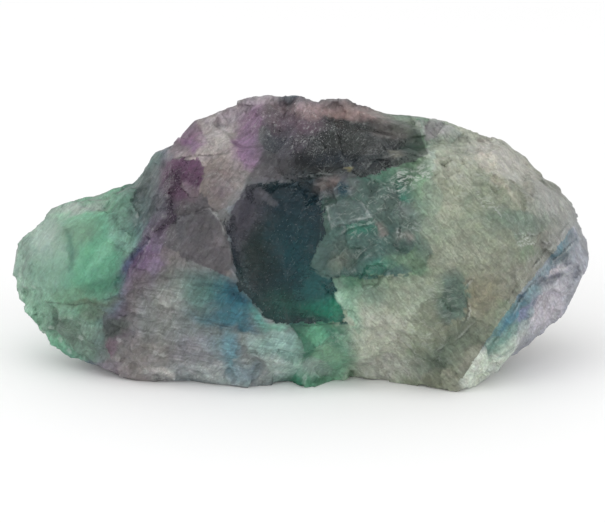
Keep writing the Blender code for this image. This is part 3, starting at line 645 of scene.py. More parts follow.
# %% The faces with a sharp border
# name: ground colour, its cloud (middle, reach, turn, edge), border lines, stains inside
FACES = {
    "green foot": ("#557d6b", ((2.4, 1.0), (3.8, 4.6), 0, 0.4), [[(5.4, 3.9), (-4.7, 4.5)]], {
        "mint spot": (1.8, 2.6, 1.6, 0.8, 0, "#6b9a82", 0.8, 0.5),
        "white spot": (5.0, 2.6, 0.5, 1.4, 20, "#8fb09c", 0.8),
        "grey spot": (1.4, -1.9, 2.6, 1.1, 0, "#8d9893", 0.85),
        "olive spot": (3.6, 0.0, 1.8, 1.6, 0, "#7c9782", 0.7),
    }),
    "lower face": ("#808584", ((-10.0, 3.0), (10.6, 8.0), -12, 0.25), [
        [(-1.4, -3.0), (0.1, -1.2), (0.4, 0.3), (0.0, 1.7), (-1.0, 3.2)],
    ], {
        "grey middle": (-12.2, 3.4, 2.6, 1.8, 0, "#727b7b", 0.7),
        "left light": (-16.0, 6.6, 2.0, 4.0, -25, "#8f918d", 0.7),
        "teal cloud": (-12.4, 8.4, 3.8, 2.6, -35, "#5f7d76", 0.85),
        "teal middle": (-9.6, 8.2, 4.4, 1.6, -38, "#47706e", 0.9, 0.7),
        "blue cloud": (-8.8, 6.4, 2.6, 2.2, -38, "#35636f", 1.0, 0.7),
        "dark sliver": (-8.2, 8.7, 1.3, 0.3, -14, "#2f3a40", 0.85, 0.5),
        "blue deep": (-7.6, 7.2, 0.9, 1.8, 45, "#2b5363", 0.9, 0.7),
        "blue line": (-7.8, 3.5, 2.8, 0.35, -6, "#35596b", 0.8, 0.5),
        "blue foot": (-8.8, 4.2, 3.6, 0.9, -8, "#3f6a75", 0.9),
        "aqua side": (-5.0, 4.7, 2.2, 0.7, -42, "#5b8b86", 0.9),
        "teal foot": (-3.0, 3.5, 1.8, 0.6, -12, "#79a494", 0.85),
        "aqua low": (-3.0, 1.2, 3.0, 1.8, -14, "#93aea7", 0.9, 0.5),
        "aqua left": (-9.8, 1.6, 2.2, 1.4, 0, "#7b9094", 0.8),
        "blue stripe": (-8.4, 0.4, 1.2, 3.0, 4, "#597d87", 0.75, 0.7),
        "violet foot": (-6.8, -2.2, 1.6, 1.1, 10, "#717f85", 0.8),
        "pale foot": (-1.6, -1.4, 2.6, 1.4, 0, "#a0aea8", 0.85, 0.5),
        "lilac shade": (-13.5, 0.6, 3.2, 2.2, 0, "#87868b", 0.7, 0.7),
        "warm foot": (-18.5, 0.0, 2.6, 2.0, 0, "#827e7b", 0.7),
        "white shards": (-16.8, -2.2, 1.7, 0.5, -5, "#c4c2be", 0.8, 0.5),
    }),
    "wedge": ("#5b595c", ((-11.6, 13.8), (5.8, 6.2), 0, 0.2), [
        [(-6.9, 8.6), (-8.6, 14.0), (-11.1, 18.4)],
        [(-16.3, 13.0), (-6.9, 8.4)],
    ], {
        "light": (-9.6, 13.8, 1.2, 2.2, 0, "#6f6c6f", 0.7, 0.5),
        "tip": (-8.2, 9.8, 1.0, 1.8, 20, "#555455", 0.8),
        "dark": (-14.6, 15.6, 1.8, 1.6, 0, "#515156", 0.7),
        "crumbs": (-8.6, 9.7, 1.1, 0.5, -30, "#8f8482", 0.7, 0.5),
        "plum edge": (-16.6, 16.6, 0.6, 3.4, -12, "#3e3242", 0.9, 0.5),
    }),
    "plum patch": ("#5f455b", ((-14.2, 21.8), (2.9, 3.2), 0, 0.3), [
        [(-12.0, 20.0), (-12.1, 24.1), (-15.5, 24.0)],
    ], {
        "plum dark": (-15.4, 21.2, 1.0, 2.0, -10, "#3c2c3c", 0.9),
        "plum grey": (-12.8, 19.6, 1.0, 0.9, 0, "#6f666b", 0.8),
        "notch": (-13.9, 19.9, 0.4, 0.9, 0, "#756870", 0.8),
    }),
    "window": ("#1c2c31", ((-1.0, 12.0), (12.5, 12.5), 0, 0.02), [
        [
            (-0.1, 21.4), (-6.7, 20.8), (-9.1, 16.1), (-8.3, 11.5), (-7.4, 8.0), (-4.3, 4.5), (-2.3, 3.7),
            (5.4, 4.0),
        ],
        [(5.5, 3.6), (3.6, 21.6)],
    ], {
        "slate": (-7.2, 17.0, 2.6, 4.6, -10, "#4b4a52", 1.0),
        "top navy": (0.4, 19.6, 2.6, 1.6, 0, "#48565d", 0.9),
        "low wall": (-6.6, 9.2, 0.9, 1.6, 20, "#38484a", 0.9),
        "navy": (0.0, 17.4, 3.8, 3.0, 0, "#1d323b", 1.0, 0.7),
        "teal": (-1.2, 12.2, 3.0, 3.6, 0, "#1c3e44", 1.0, 0.8),
        "low black": (-5.0, 12.0, 1.6, 3.0, 10, "#1d2c2a", 0.9, 0.7),
        "foot": (-1.6, 6.0, 3.4, 2.0, -10, "#284c45", 0.9, 0.8),
        "emerald": (3.3, 5.6, 2.2, 1.8, 0, "#32725f", 1.0, 0.8),
        "teal right": (2.2, 9.0, 2.2, 2.4, 0, "#2f5a5a", 0.8, 0.7),
        "mint corner": (4.4, 5.2, 0.8, 1.6, 20, "#5c9a80", 0.4, 0.7),
        "frosted plate": (-4.4, 19.2, 1.5, 0.6, -42, "#6a6a70", 0.7, 0.5),
    }),
    "mint side": ("#8aa493", ((5.2, 6.0), (1.5, 3.8), 22, 0.5), [[(3.0, 9.6), (4.2, 7.4), (5.5, 3.4)]], {
        "rim": (4.3, 7.2, 0.5, 1.8, 24, "#a3bbab", 0.7),
    }),
    "upper blocks": ("#50665f", ((8.0, 17.6), (7.2, 4.8), 0, 0.35), [[(2.6, 22.0), (2.6, 14.0)]], {
        "grey": (10.0, 18.4, 3.0, 2.2, 0, "#5c6b66", 0.7),
        "pink": (13.0, 17.9, 1.7, 1.1, 0, "#6f7573", 0.8, 0.5),
        "shade": (12.6, 15.8, 2.2, 1.4, 0, "#4f5d59", 0.8),
        "teal": (12.6, 19.6, 0.9, 1.6, 0, "#3f766a", 0.8, 0.5),
        "dark": (8.2, 20.9, 0.5, 1.2, 10, "#33403f", 0.7),
        "green": (10.4, 22.2, 2.0, 0.9, 20, "#4f6a60", 0.7, 0.5),
    }),
    "lower blocks": ("#4f6762", ((8.0, 12.2), (8.4, 4.2), 0, 0.2), [
        [(3.3, 15.4), (1.0, 10.8), (3.4, 9.4), (14.6, 9.9), (15.9, 12.2), (14.4, 15.2)],
    ], {
        "green top": (7.2, 15.2, 1.7, 0.7, 10, "#3f7565", 0.8, 0.5),
        "green block": (9.4, 10.9, 2.4, 1.0, 0, "#4b7d6e", 0.8, 0.5),
        "olive block": (13.0, 11.6, 2.1, 1.5, 0, "#718773", 0.85, 0.5),
        "grey nose": (2.6, 11.8, 1.4, 2.0, 0, "#566a66", 0.8),
        "brown lines": (5.0, 11.4, 1.4, 0.8, 20, "#71756b", 0.7),
        "nugget": (12.9, 11.4, 2.0, 1.3, -8, "#718873", 0.8, 0.3),
        "tan nose": (4.8, 13.0, 1.2, 1.3, 0, "#63706a", 0.6),
        "pink chip": (9.8, 15.2, 0.7, 1.4, 25, "#8b8580", 0.8, 0.5),
        "pink grain": (12.5, 14.5, 0.9, 0.9, 0, "#8a8682", 0.8, 0.5),
        "dark gap": (7.6, 13.0, 1.6, 0.7, 10, "#475a55", 0.7, 0.5),
        "dark side": (11.2, 13.6, 0.8, 1.4, 20, "#4c5f59", 0.7, 0.5),
    }),
    "light plate": ("#5f6f6c", ((5.8, 17.2), (3.6, 2.2), 0, 0.15), [
        [(8.8, 16.9), (7.3, 18.8), (5.3, 18.9), (2.9, 18.3), (3.5, 15.3), (8.8, 16.7)],
    ], {
        "shine": (5.6, 16.5, 1.8, 0.5, 4, "#8a9694", 0.7),
    }),
    "roof": ("#3b3e3f", ((5.8, 25.6), (10.6, 6.4), -4, 0.45), [
        [(-0.8, 21.0), (7.8, 21.7), (15.6, 24.1), (14.3, 29.3)],
    ], {
        # the next three stains paint the upward-facing crest paler, as painted light from above; the pink
        # one is partly the crest's own tint as well
        "top": (4.8, 30.2, 9.5, 1.5, -9, "#b09c9b", 0.9, 0.4),
        "plum": (-0.4, 28.4, 2.8, 1.6, 0, "#665560", 0.9),
        "left": (-1.4, 25.4, 2.2, 2.4, 0, "#4a454c", 0.8),
        "pink tint and painted light": (4.6, 29.4, 3.4, 0.8, -8, "#96807c", 0.8, 0.8),
        "crest right painted light": (12.8, 28.9, 2.4, 0.8, -15, "#aaa9a3", 0.9),
        "olive": (5.4, 25.8, 3.4, 2.0, 0, "#3b3e3c", 0.7, 0.7),
        "brown": (10.6, 27.6, 3.2, 1.0, -12, "#625d5b", 0.8),
        "black": (1.6, 23.2, 3.4, 1.5, 0, "#0f1113", 1.0, 0.5),
        "navy": (4.6, 23.8, 3.4, 1.2, 0, "#272f37", 0.8),
        "green": (13.8, 25.4, 1.3, 1.6, 0, "#3d4845", 0.8, 0.4),
        "eave light": (11.4, 24.3, 1.2, 0.4, 12, "#8e8d84", 0.75, 0.5),
        "golden glint": (5.9, 22.7, 0.5, 0.18, 10, "#9c9468", 0.8),
    }),
    "eave plates": ("#5e6064", ((4.4, 20.5), (2.8, 1.4), 4, 0.4), [[(0.4, 22.6), (-0.6, 20.2)]], {
        "pink": (2.8, 20.8, 1.5, 0.8, 0, "#857b79", 0.9, 0.5),
        "grey": (6.3, 20.6, 1.0, 0.8, 0, "#6a7470", 0.8, 0.5),
        "pocket": (4.9, 19.7, 0.8, 0.7, 0, "#1d3d47", 0.9, 0.4),
    }),
    "pit": ("#63746b", ((18.4, 7.0), (2.5, 3.6), 0, 0.3), [
        [(20.1, 3.6), (20.2, 6.8), (19.9, 10.0)],
        [(15.0, 4.2), (21.0, 4.0)],
    ], {
        "floor": (18.8, 6.0, 1.8, 2.6, 0, "#5a6d62", 0.6),
        "haze": (16.4, 8.2, 1.3, 1.7, 35, "#7b8878", 0.8),
    }),
    "strip": ("#999ba2", ((30.0, 5.0), (13.0, 15.0), 0, 0.05), [[(33.3, 15.4), (26.3, 7.4), (19.1, -3.3)]], {
        "lavender": (30.4, 5.8, 3.2, 1.7, 50, "#bfbcc2", 0.9),
        "grey tip": (32.2, 13.2, 2.2, 1.6, 50, "#6d7d83", 0.85),
        "teal line": (25.2, 3.8, 7.0, 1.7, 54, "#617f7e", 0.9, 0.5),
        "blue band": (28.2, 7.8, 4.2, 0.8, 50, "#7b9098", 0.85),
        "deep blue": (25.6, 4.4, 2.2, 0.4, 52, "#54798a", 0.8),
        "blue tip": (31.8, 13.2, 2.4, 0.6, 50, "#5f7e88", 0.8),
        "pale splash": (26.2, 6.6, 0.8, 0.3, 50, "#a9bac4", 0.8),
        "lilac line": (27.6, 5.6, 1.8, 0.4, 45, "#8b8ea6", 0.8),
        "navy thread": (28.6, 8.6, 3.2, 0.25, 45, "#2b3a50", 0.8),
        "white ledge": (31.2, 9.8, 2.0, 0.5, 20, "#c6c2c6", 0.9, 0.5),
        "grey ledge": (31.0, 8.7, 2.6, 0.4, 18, "#62646d", 0.85, 0.5),
        "mint end": (22.6, -1.0, 5.4, 1.6, 42, "#ccd3c8", 1.0, 0.5),
        "green line": (24.6, 1.6, 2.6, 1.0, 52, "#68877f", 0.9),
    }),
}
print("faces:", ", ".join(FACES))


# %% [markdown]
# ## Keeping the painting on the net
#
# The net's points are a third of a millimetre apart, so a border painted on them would be
# blurred. Each face is therefore kept apart, as two attributes: its own colours, with the share
# of its cloud as the fourth channel, and how far inside its border each point lies. The material
# lays the faces over each other and can then draw every border as sharp as a broken edge.

# %% Colours and borders as attributes
SATURATION = 1.18
FRAY_MM = {
    "green foot": 0.7, "lower face": 0.12, "strip": 0.10, "roof": 0.22, "light plate": 0.15,
    "eave plates": 0.5, "pit": 0.5,
}
USUAL_FRAY_MM = 0.30
FURTHEST = 9.0
LUMINANCE = (0.2126, 0.7152, 0.0722)


def keep(name, kind, values):
    """Writes one value for each point of the net as an attribute."""
    field = {"FLOAT": "value", "FLOAT_COLOR": "color"}[kind]
    layer = chunk.data.attributes.new(name, kind, "POINT")
    layer.data.foreach_set(field, np.ascontiguousarray(values, dtype=np.float32).ravel())


def richer(colour):
    """The colour with a little more of its own tint."""
    grey = (colour @ LUMINANCE)[:, None]
    return np.clip(grey + (colour - grey) * SATURATION, 0, 1)


def inside_by(lines):
    """How far inside all of the lines each point lies, negative outside."""
    inside = np.full(len(plain), FURTHEST)
    for line in lines:
        for (x0, v0), (x1, v1) in zip(line, line[1:]):
            left = (plain[:, 2] - v0) * (x1 - x0) - (plain[:, 0] - x0) * (v1 - v0)
            inside = np.minimum(inside, left / math.hypot(x1 - x0, v1 - v0))
    return inside


keep("stone_colour", "FLOAT_COLOR", np.column_stack((richer(colour), np.ones(len(colour)))))
for name, (ground, (middle, reach, turn, edge), borders, inside) in FACES.items():
    face = paint(np.array(linear(ground)[:3]) + 0 * colour, inside)
    cloud = stain(crisp, middle, reach, turn, edge)
    keep(name, "FLOAT_COLOR", np.column_stack((richer(face), cloud)))
    keep(name + " border", "FLOAT", inside_by(borders) / FRAY_MM.get(name, USUAL_FRAY_MM))


# %% [markdown]
# ## Where each kind of texture belongs
#
# A crushed place has wisps, a dark one is dusty, a combed one has hairs, and a clean break has
# little of all. Masks kept on the net say where, so that one material can serve the whole stone.

# %% Masks
PLATE_TONE, CHIP_TONE = 0.12, 0.08
FOOT_PAINTED_LIGHT, FOOT_V, FOOT_X = 0.47, (-3.2, 1.6), (8, 15)  # painted light: the foot of the front is painted paler, against the shade where it turns down to the floor
RIM_SHADE, RIM_V, RIM_X = 0.36, (-2.0, 3.0), (6, 16)  # painted shade: the rim between front and back is painted darker
FEWEST_WISPS = 0.18
WINDOW = {"even": 0.7, "calm": 0.5, "hairy": 0.9, "dusty": 0.13}  # the dark window's part in each
WINDOW_CLOUD = ((-3.0, 12.0), (6.6, 9.0), 15, 0.3)
LOBE_CLOUD = ((-28.5, 12.0), (6.0, 5.5), 0, 0.4)  # the calm middle of the green end
EVEN_RIGHT = [((22.0, 16.0), (9.0, 10.0), 0, 0.4, 0.6)]
HAIRY = [((-11.0, 4.0), (13.0, 6.5), -8, 0.3, 1.0)]
DUSTY = [
    ((-1.0, 27.8), (7.0, 3.6), -6, 0.5, 1.0), ((4.6, 26.4), (9.0, 3.4), -6, 0.5, 0.6),
    ((-17.0, 18.0), (4.0, 8.0), -15, 0.5, 0.6),
]
WISPY = [
    ((8.5, 17.0), (8.5, 7.0), 0, 0.4, 1.0), ((-8.0, 20.5), (6.0, 2.6), 10, 0.5, 0.8),
    ((25.0, 20.0), (9.0, 6.5), -30, 0.5, 0.7), ((12.0, 2.5), (9.0, 5.0), 0, 0.5, 0.6),
    ((29.5, 8.0), (6.0, 6.0), 0, 0.5, 0.7), ((-28.0, 3.0), (6.0, 3.0), -20, 0.5, 0.5),
]
# feather cracks, whose white needles are partly painted glints
FEATHERY = [
    ((13.4, 21.4), (2.8, 1.2), 12, 0.5, 1.0), ((23.0, 18.6), (1.8, 0.6), -45, 0.6, 0.5),
    ((27.4, 14.6), (1.6, 0.5), -10, 0.6, 0.7), ((17.2, 7.0), (2.2, 2.8), 30, 0.5, 0.3),
]

window, lobe = stain(plain, *WINDOW_CLOUD), stain(plain, *LOBE_CLOUD)
even = np.maximum(WINDOW["even"] * np.maximum(window, lobe), strongest(plain, EVEN_RIGHT))
plate_tone = 1 + PLATE_TONE * (2 * chance.random(plate.max() + 1) - 1)[plate]
plate_tone *= 1 + CHIP_TONE * (2 * chance.random(chip.max() + 1) - 1)[chip]
# painted light: the foot of the front, painted paler against its shade
foot = (1 - smooth_step(plain[:, 2], *FOOT_V)) * smooth_step(out, *FACING)
foot *= 1 - smooth_step(plain[:, 0], *FOOT_X)
# painted shade on the rim between front and back
rim = smooth_step(out, -0.5, -0.1) * (1 - smooth_step(out, 0.15, 0.55))
rim = rim * (1 - 0.7 * smooth_step(plain[:, 0], *RIM_X)) * smooth_step(plain[:, 2], *RIM_V)
MASKS = {
    # the plates' random tone, times the painted light at the foot and the painted shade at the rim
    "plate_tone": (plate_tone + (1 - plate_tone) * even) * (1 + FOOT_PAINTED_LIGHT * foot) * (1 - RIM_SHADE * rim),
    "calm": np.maximum(WINDOW["calm"] * window, lobe),
    "right_side": smooth_step(wandered[:, 0], 1.0, 9.0),
    "hairy": np.maximum(strongest(plain, HAIRY), WINDOW["hairy"] * window),
    "dusty": np.maximum(strongest(grained, DUSTY), WINDOW["dusty"] * window),
    "wispy": np.maximum(strongest(grained, WISPY), FEWEST_WISPS) * (1 - np.maximum(window, lobe)),
    "feathery": strongest(grained, FEATHERY),
}
for name, mask in MASKS.items():
    keep(name, "FLOAT", mask)
print("kept on the net:", len(chunk.data.attributes), "attributes")


# %% [markdown]
# ## Ledge lines
#
# Crushed fluorite turns white, so the upper edge of a small step is pale here and there; the
# pale line is partly a painted highlight on the edge as well. The step's foot holds a thin line of
# painted shade and dirt. For both, the net keeps how far each point lies from the nearest ledge,
# positive on the side that stands up.

# %% Distances to the ledges
# ledges whose foot shows no dark line, or whose edge isn't pale
NO_SHADE = {"wedge rim", "scratch", "cream ledge", "light plate", "strip three"}
NO_PALE = {
    "cheek crack", "emerald foot", "violet crack", "green thread", "block foot", "block nose", "aqua foot",
    "blue edge",
}

facing_front = smooth_step(normals @ OUT_FRONT, *FACING) * (plain[:, 1] > 0)
nearest, pale, shade = np.full(len(plain), FURTHEST), np.zeros(len(plain)), np.zeros(len(plain))
for name, (rise, reach, line) in LEDGES.items():
    left, past = beside(plain[:, 0], plain[:, 2], line)
    near_line = np.clip(1 - past / END_FADE_MM, 0, 1) * facing_front
    closer = np.abs(left) < np.abs(nearest)
    nearest = np.where(closer, left, nearest)
    pale = np.where(closer, near_line * (name not in NO_PALE), pale)
    shade = np.where(closer, near_line * (name not in NO_SHADE), shade)
for name, values in {"ledge": nearest, "ledge_pale": pale, "ledge_shade": shade}.items():
    keep(name, "FLOAT", values)
print("points within 0.5 mm of a ledge:", int((np.abs(nearest) < 0.5).sum()))


# %% [markdown]
# ## The broken skin
#
# The material is fluorite: clear and glassy where it split cleanly, frosted where it was
# crushed. It reads the painting from the net and adds what is finer than the net: crumbs,
# streaks along the cleavage, wisps, needle cracks, some of them partly painted glints, and pale
# flecks on the dark faces that are dust and partly painted glints. A frosted skin hides the
# inside and a clean skin lets the eye look in, so the clear places are the dark ones.

# %% The node helper and the places on the stone
RUFFLES_PER_MM, RUFFLED_BY_MM = 1.1, 0.6
MULTIPLY, MULTIPLY_ADD, SUBTRACT = [{"operation": o} for o in ("MULTIPLY", "MULTIPLY_ADD", "SUBTRACT")]

fluorite = bpy.data.materials.new("broken banded fluorite")
fluorite.use_nodes = True
tree = fluorite.node_tree
shader = tree.nodes["Principled BSDF"]


def feed(node, inputs):
    """Gives each input a plain value or links it. A node stands for its first output."""
    for key, value in inputs.items():
        if isinstance(value, bpy.types.Node):
            value = value.outputs[0]
        if isinstance(value, bpy.types.NodeSocket):
            tree.links.new(value, node.inputs[key])
        else:
            node.inputs[key].default_value = value


def add(kind, settings=None, inputs=None):
    """Adds a node with its settings and inputs."""
    node = tree.nodes.new("ShaderNode" + kind)
    for key, value in (settings or {}).items():
        setattr(node, key, value)
    feed(node, inputs or {})
    return node


place = add("TexCoord")
mm = add("VectorMath", {"operation": "SCALE"}, {0: place.outputs["Object"], "Scale": 1 / MM})
front = add("Mapping", inputs={"Vector": mm, "Rotation": (FRONT_LEAN, 0, 0)})
ruffled = add("TexNoise", inputs={"Vector": front, "Scale": RUFFLES_PER_MM, "Detail": 1.0})
ruffled = add("VectorMath", MULTIPLY_ADD, {0: ruffled.outputs["Color"], 1: 3 * (RUFFLED_BY_MM,), 2: front})
mask = {name: add("Attribute", {"attribute_name": name}).outputs["Fac"] for name in MASKS}
print("masks:", ", ".join(mask))

# %% [markdown]
# The smallest cleavage faces are cells of two sizes, turned as the crystal is. Each cell has its
# own random values, which give it a tone and a tilt of its own. They also push the borders of
# the painted faces to and fro, so a border runs along broken grains.

# %% Grains
GRAIN_MM, CHIP_MM = 1.3, 0.55
GRAIN_TURN = (35, 20, 25)
GRAIN_TONE, CHIP_GRAIN_TONE = 0.05, 0.09
CHIP_FRAY = 0.9  # how far the small cells push a border, beside the large ones

crystal = add("VectorRotate", {"rotation_type": "EULER_XYZ"}, {
    "Vector": ruffled, "Rotation": [math.radians(a) for a in GRAIN_TURN],
})
grains, chips = [
    add("TexVoronoi", {"distance": "MANHATTAN"}, {"Vector": crystal, "Scale": 1 / size_mm}).outputs
    for size_mm in (GRAIN_MM, CHIP_MM)
]
grain_values = add("SeparateXYZ", inputs={0: grains["Color"]}).outputs
chip_values = add("SeparateXYZ", inputs={0: chips["Color"]}).outputs
fray = add("MapRange", inputs={"Value": grain_values[0], "To Min": -1.0, "To Max": 1.0})
fray = add("Math", MULTIPLY_ADD, {0: chip_values[0], 1: CHIP_FRAY, 2: fray})
print("grains of", GRAIN_MM, "and", CHIP_MM, "mm")

# %% [markdown]
# The faces are laid over the layers in their order. Each border is drawn where its kept
# distance, pushed to and fro by the grains, passes a limit, so it breaks as the grains do.

# %% The painted faces, one over the other
BORDER_AT, BORDER_SOFT = 0.45, 0.35  # in units of the border's own fray

colour = add("Attribute", {"attribute_name": "stone_colour"}).outputs["Color"]
for name in FACES:
    face = add("Attribute", {"attribute_name": name}).outputs
    border = add("Attribute", {"attribute_name": name + " border"}).outputs["Fac"]
    frayed = add("Math", {"operation": "ADD"}, {0: border, 1: fray})
    within = add("MapRange", {"interpolation_type": "SMOOTHSTEP"}, {
        "Value": frayed, "From Min": BORDER_AT - BORDER_SOFT, "From Max": BORDER_AT + BORDER_SOFT,
        "To Max": face["Alpha"],
    })
    colour = add("Mix", {"data_type": "RGBA"}, {0: within, 6: colour, 7: face["Color"]}).outputs[2]
print("faces laid over each other:", len(FACES))

# %% [markdown]
# Broken fluorite is sugary and silky. Round noises make its mottle and crumbs. The silk and the
# hairs are slender shards, drawn out along a cleavage, because smooth noise would look like fur.

# %% Crumbs, mottles and streaks
STREAK_LEFT, STREAK_RIGHT = 55, -48  # degrees, left and right of the middle
STREAK_MM, STREAK_LONG, STREAK_DEEP = 0.20, 7.0, 2.0
HAIR_TURN, HAIR_MM, HAIR_LONG = -9, 0.20, 14.0
HAIRY_SHARE = 0.5  # of mottle and crumbs is taken away where the stone is combed with hairs
CALM_SHARE = 0.50  # of the tone is taken away in the calm places
# name: grain size in millimetres, detail, roughness
NOISES = {"mottle": (1.6, 4.0, 0.65), "crumbs": (0.28, 2.0, 0.5)}
SWINGS = {"mottle": 0.14, "silk": 0.16, "hairs": 0.18, "crumbs": 0.36}


def streaks(turn, across_mm, long):
    """Slender shards that lie in the turned direction on the front, each with a value of its own."""
    turned = {"Vector": ruffled, "Angle": math.radians(turn)}
    laid = add("VectorRotate", {"rotation_type": "Y_AXIS"}, turned)
    drawn = add("VectorMath", {"operation": "DIVIDE"}, {0: laid, 1: (long, STREAK_DEEP, 1.0)})
    shards = add("TexVoronoi", inputs={"Vector": drawn, "Scale": 1 / across_mm})
    return add("SeparateXYZ", inputs={0: shards.outputs["Color"]})


fine = {}
for name, (size_mm, detail, roughness) in NOISES.items():
    settings = {"Vector": front, "Scale": 1 / size_mm, "Detail": detail, "Roughness": roughness}
    fine[name] = add("TexNoise", inputs=settings).outputs["Fac"]
left_silk, right_silk = [streaks(turn, STREAK_MM, STREAK_LONG) for turn in (STREAK_LEFT, STREAK_RIGHT)]
fine["silk"] = add("Mix", inputs={0: mask["right_side"], 2: left_silk, 3: right_silk})
hairs = streaks(HAIR_TURN, HAIR_MM, HAIR_LONG)
fine["hairs"] = add("Mix", inputs={0: mask["hairy"], 2: 0.5, 3: hairs})
combed = add("Math", MULTIPLY, {0: mask["hairy"], 1: HAIRY_SHARE})
for name in NOISES:
    fine[name] = add("Mix", inputs={0: combed, 2: fine[name], 3: 0.5})

tone = 1.0
grain_swings = [(grain_values[1], GRAIN_TONE), (chip_values[1], CHIP_GRAIN_TONE)]
for value, amount in grain_swings + [(fine[name], amount) for name, amount in SWINGS.items()]:
    swing = add("MapRange", inputs={"Value": value, "To Min": 1 - amount, "To Max": 1 + amount})
    tone = add("Math", MULTIPLY, {0: swing, 1: tone})
calming = add("Math", MULTIPLY, {0: mask["calm"], 1: CALM_SHARE})
tone = add("Mix", inputs={0: calming, 2: tone, 3: 1.0})
# the kept tone holds the plates' random tone and the painted light and shade of the foot and rim
tone = add("Math", MULTIPLY, {0: tone, 1: mask["plate_tone"]})
colour = add("VectorMath", {"operation": "SCALE"}, {0: colour, "Scale": tone})
print("fine textures:", ", ".join(fine))

# %% [markdown]
# Each grain bends the light its own way, so no two are of quite the same tint. A coloured
# noise, multiplied in, does that without touching the painting.

# %% A grain of tint
TINT_MM, TINT = 0.9, 0.16
tint = add("TexNoise", inputs={"Vector": ruffled, "Scale": 1 / TINT_MM, "Detail": 3.0}).outputs["Color"]
tint = add("VectorMath", MULTIPLY_ADD, {0: tint, 1: 3 * (TINT,), 2: 3 * (1 - TINT / 2,)})
colour = add("VectorMath", MULTIPLY, {0: colour, 1: tint})
print("tint: one grain in", TINT_MM, "mm")

# %% [markdown]
# Pale marks come next: edges that stand out, crushed white and partly a painted highlight;
# wisps where a grain was bruised; flecks of dust that are partly painted glints; and needle
# cracks that lie in a few fixed directions, the feathery ones partly painted glints. They are
# painted over the colours, because crushed fluorite is white whatever its layer, and so is a
# painted glint.

# %% Pale marks
# the pale edge is crushed white and partly a painted highlight
EDGE_FROM, EDGE_TO, EDGES = 0.535, 0.62, 0.25  # of the net's own pointiness
WISP_MM, WISP_PATCH_MM, WISP_HALF, WISPS = 1.2, 2.6, 0.030, 0.42
WISP_SQUEEZE, WISP_DETAIL = (0.6, 0.6, 1.0), {"Detail": 4.0, "Roughness": 0.62, "Distortion": 0.6}
PATCH_FROM, PATCH_TO = 0.44, 0.62
FLECK_MM, FLECK_FROM, FLECK_TO, FLECKS = 0.16, 0.68, 0.79, 0.42
DUST = 0.11  # is added to the flecks' noise in a dusty place
# among these, pale edges are partly a painted highlight, flecks and feathery needles partly painted glints,
# and the ledges' dark line painted shade and dirt
CRUSHED_AND_HIGHLIGHT, BRUISED, DUST_AND_GLINT, NEEDLE_AND_GLINT, SHADE_AND_DIRT = "#c9cdca", "#c2c8c4", "#c1bec2", "#c9cec9", "#262d2c"


def lay_over(below, value, low, high, strength, code):
    """Paints a colour where a value rises from low to high. Strength may be a node too."""
    share = add("MapRange", {"interpolation_type": "SMOOTHSTEP"}, {
        "Value": value, "From Min": low, "From Max": high, "To Max": strength,
    })
    return add("Mix", {"data_type": "RGBA"}, {0: share, 6: below, 7: linear(code)}).outputs[2]


# pale edges where the net is pointed: crushed white, partly a painted highlight
edge = add("NewGeometry").outputs["Pointiness"]
colour = lay_over(colour, edge, EDGE_FROM, EDGE_TO, EDGES, CRUSHED_AND_HIGHLIGHT)

drawn = add("VectorMath", MULTIPLY, {0: ruffled, 1: WISP_SQUEEZE})
wisp = add("TexNoise", inputs={"Vector": drawn, "Scale": 1 / WISP_MM, **WISP_DETAIL}).outputs["Fac"]
wisp = add("Math", SUBTRACT, {0: wisp, 1: 0.5})
wisp = add("Math", {"operation": "ABSOLUTE"}, {0: wisp})
patch = add("TexNoise", inputs={"Vector": front, "Scale": 1 / WISP_PATCH_MM, "Detail": 2.0}).outputs["Fac"]
patch = add("MapRange", inputs={"Value": patch, "From Min": PATCH_FROM, "From Max": PATCH_TO})
strength = add("Math", MULTIPLY, {0: patch, 1: mask["wispy"]})
strength = add("Math", MULTIPLY, {0: strength, 1: WISPS})
colour = lay_over(colour, wisp, WISP_HALF, 0.0, strength, BRUISED)

# flecks: dust, and partly painted glints
fleck = add("TexNoise", inputs={
    "Vector": front, "Scale": 1 / FLECK_MM, "Detail": 2.0, "Roughness": 0.6,
}).outputs["Fac"]
fleck = add("Math", MULTIPLY_ADD, {0: mask["dusty"], 1: DUST, 2: fleck})
colour = lay_over(colour, fleck, FLECK_FROM, FLECK_TO, FLECKS, DUST_AND_GLINT)

# the feathery needles are partly painted glints; the wispy and dusty ones are crushed cracks
# degrees, width and length of a needle, where, share of the shards, how strong
NEEDLES = [
    (24, 0.14, 9.0, "feathery", 0.25, 0.65), (-12, 0.14, 9.0, "feathery", 0.20, 0.65),
    (38, 0.12, 7.0, "wispy", 0.030, 0.20), (-50, 0.12, 6.0, "wispy", 0.020, 0.20),
    (52, 0.11, 4.0, "dusty", 0.045, 0.30),
]
NEEDLE_SOFT = 0.9
for turn, across_mm, long, where, share, strength in NEEDLES:
    needle = streaks(turn, across_mm, long)
    strength = add("Math", MULTIPLY, {0: mask[where], 1: strength})
    colour = lay_over(colour, needle, 1 - share, 1 - NEEDLE_SOFT * share, strength, NEEDLE_AND_GLINT)
print("needle directions:", len(NEEDLES))

# %% [markdown]
# A ledge's standing edge is pale, crushed white and partly a painted highlight, and its foot is
# a dark line of painted shade and dirt. Both lines are drawn from the kept distance, a little
# jagged, and show only in patches, as the real ones do.

# %% Ledge lines
# mask: middle and half width in millimetres, strength, colour
# the pale line is crushed white and partly a painted highlight; the dark line is painted shade and dirt
LINES = {"ledge_pale": (0.16, 0.20, 0.32, CRUSHED_AND_HIGHLIGHT), "ledge_shade": (-0.10, 0.18, 0.50, SHADE_AND_DIRT)}
JITTER_MM = 0.25

